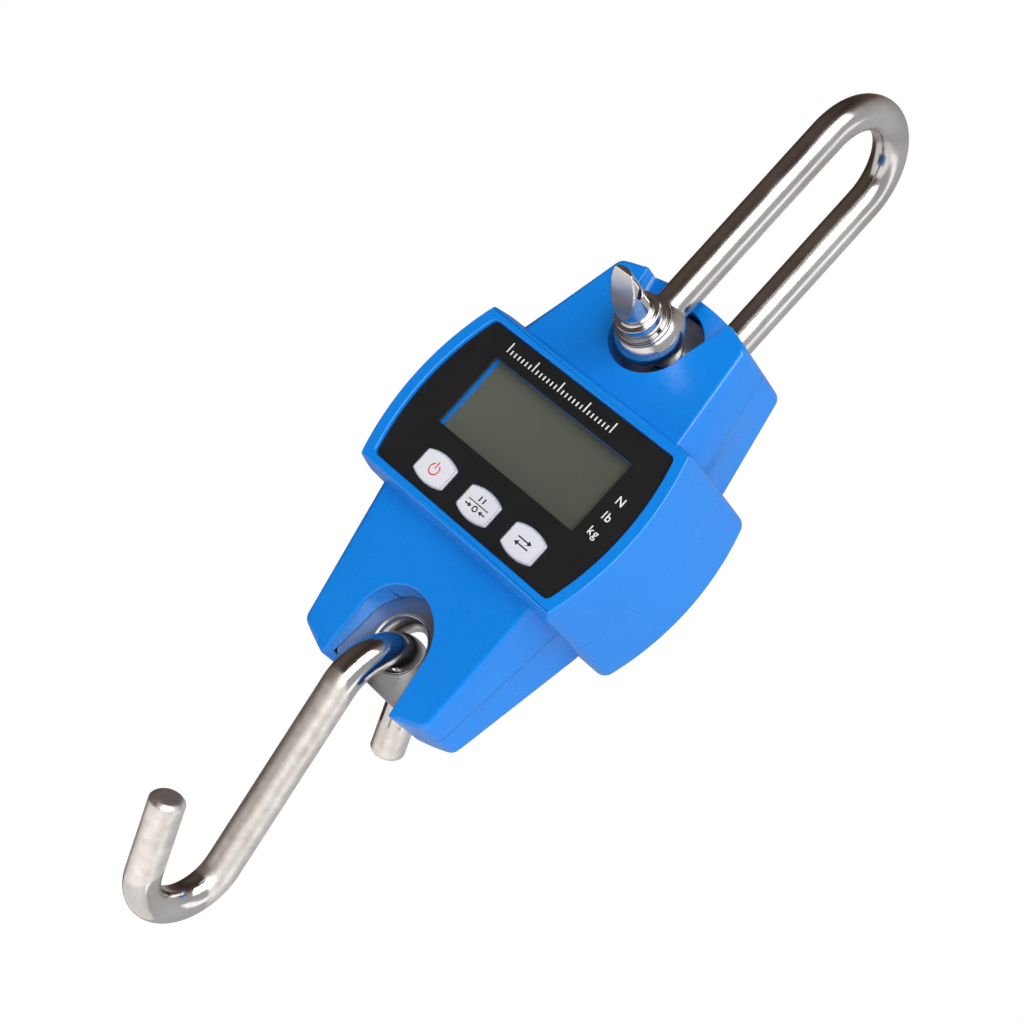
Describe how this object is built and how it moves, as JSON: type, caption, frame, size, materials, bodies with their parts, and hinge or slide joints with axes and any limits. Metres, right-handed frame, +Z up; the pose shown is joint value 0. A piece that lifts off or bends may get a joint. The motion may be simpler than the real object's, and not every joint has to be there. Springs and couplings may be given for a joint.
{
  "type": "crane scale",
  "caption": "Hanging digital crane scale: a plastic housing with display and keys around a load cell, a long bow shackle with a screw pin above and an open S-hook below.",
  "frame": {"origin": "inside of the shackle's crown, where a crane hook carries it", "axes": "+Z up along the load line, -Y out of the display, +X to the right seen from the front"},
  "size_m": [0.088, 0.0729, 0.2977],
  "materials": {
    "bow_steel": "polished stainless steel, drawn bar with faint forging marks",
    "pin_steel": "polished stainless steel",
    "ring_steel": "bright steel ring",
    "hook_steel": "bright bends, tumbled and slightly pitted shank",
    "housing_blue": "satin moulded ABS",
    "face_black": "printed polycarbonate sheet, satin",
    "window_clear": "clear window",
    "lcd_grey": "reflective liquid crystal glass",
    "frame_white": "moulded frame",
    "strip_rubber": "layered contact rubber",
    "board_green": "solder resist on glass fibre",
    "chip_black": "epoxy blob",
    "switch_black": "moulded switch",
    "screw_zinc": "zinc plated",
    "key_silver": "silver white key with a fine rim",
    "cell_metal": "machined alloy, dull grey",
    "gauge_foil": "polyimide foil",
    "sealant_white": "silicone",
    "lead_cover": "insulated flat lead",
    "wire_red": "insulated pair",
    "contact_nickel": "nickel plated spring steel",
    "battery_wrap": "plain wrapped cell"
  },
  "bodies": {
    "shackle": {"shackle": "bow_steel", "flat_washer": "ring_steel"},
    "pin_ring": {"spring_washer": "ring_steel"},
    "pin": {"shackle_pin": "pin_steel"},
    "scale": {"front_shell": "housing_blue", "rear_shell": "housing_blue", "face_sheet": "face_black", "display_window": "window_clear", "lcd_glass": "lcd_grey", "lcd_frame": "frame_white", "contact_strips": "strip_rubber", "main_board": "board_green", "processor_blob": "chip_black", "key_switches": "switch_black", "buzzer": "switch_black", "board_screws": "screw_zinc", "load_cell": "cell_metal", "strain_gauges": "gauge_foil", "gauge_sealant": "sealant_white", "gauge_lead": "lead_cover", "cell_screws": "screw_zinc", "battery_contacts": "contact_nickel", "batteries": "battery_wrap", "battery_lead": "wire_red", "housing_screws": "screw_zinc"},
    "eye": {"eye_ring": "ring_steel"},
    "hook": {"s_hook": "hook_steel"},
    "key_power": {"power_key": "key_silver"},
    "key_hold": {"hold_key": "key_silver"},
    "key_unit": {"unit_key": "key_silver"},
    "door": {"battery_door": "housing_blue"}
  },
  "joints": [
    {"name": "body_swing", "type": "hinge", "parent": "shackle", "child": "scale", "pos_m": [0, 0, -0.083], "axis": [0, 1, 0], "range_deg": [-30, 30]},
    {"name": "pin_travel", "type": "slide", "parent": "shackle", "child": "pin_ring", "axis": [0, -1, 0], "range_m": [0, 0.0105]},
    {"name": "pin_turn", "type": "hinge", "parent": "pin_ring", "child": "pin", "pos_m": [0, 0, -0.083], "axis": [0, -1, 0], "range_deg": [0, 2520]},
    {"name": "hook_swing", "type": "hinge", "parent": "scale", "child": "eye", "pos_m": [0, 0, -0.1889], "axis": [0, 1, 0], "range_deg": [-26, 26]},
    {"name": "hook_tilt", "type": "hinge", "parent": "eye", "child": "hook", "pos_m": [0, 0, -0.204], "axis": [1, 0, 0], "range_deg": [-45, 20]},
    {"name": "power_press", "type": "slide", "parent": "scale", "child": "key_power", "axis": [0, 1, 0], "range_m": [0, 0.0006], "stiffness_N_per_m": 700, "springref_m": -0.0007},
    {"name": "hold_press", "type": "slide", "parent": "scale", "child": "key_hold", "axis": [0, 1, 0], "range_m": [0, 0.0006], "stiffness_N_per_m": 700, "springref_m": -0.0007},
    {"name": "unit_press", "type": "slide", "parent": "scale", "child": "key_unit", "axis": [0, 1, 0], "range_m": [0, 0.0006], "stiffness_N_per_m": 700, "springref_m": -0.0007},
    {"name": "door_slide", "type": "slide", "parent": "scale", "child": "door", "axis": [0, 0, -1], "range_m": [0, 0.032]}
  ],
  "couplings": [
    {"joint": "pin_turn", "follows": "pin_travel", "rad_per_m": 4188.8}
  ]
}
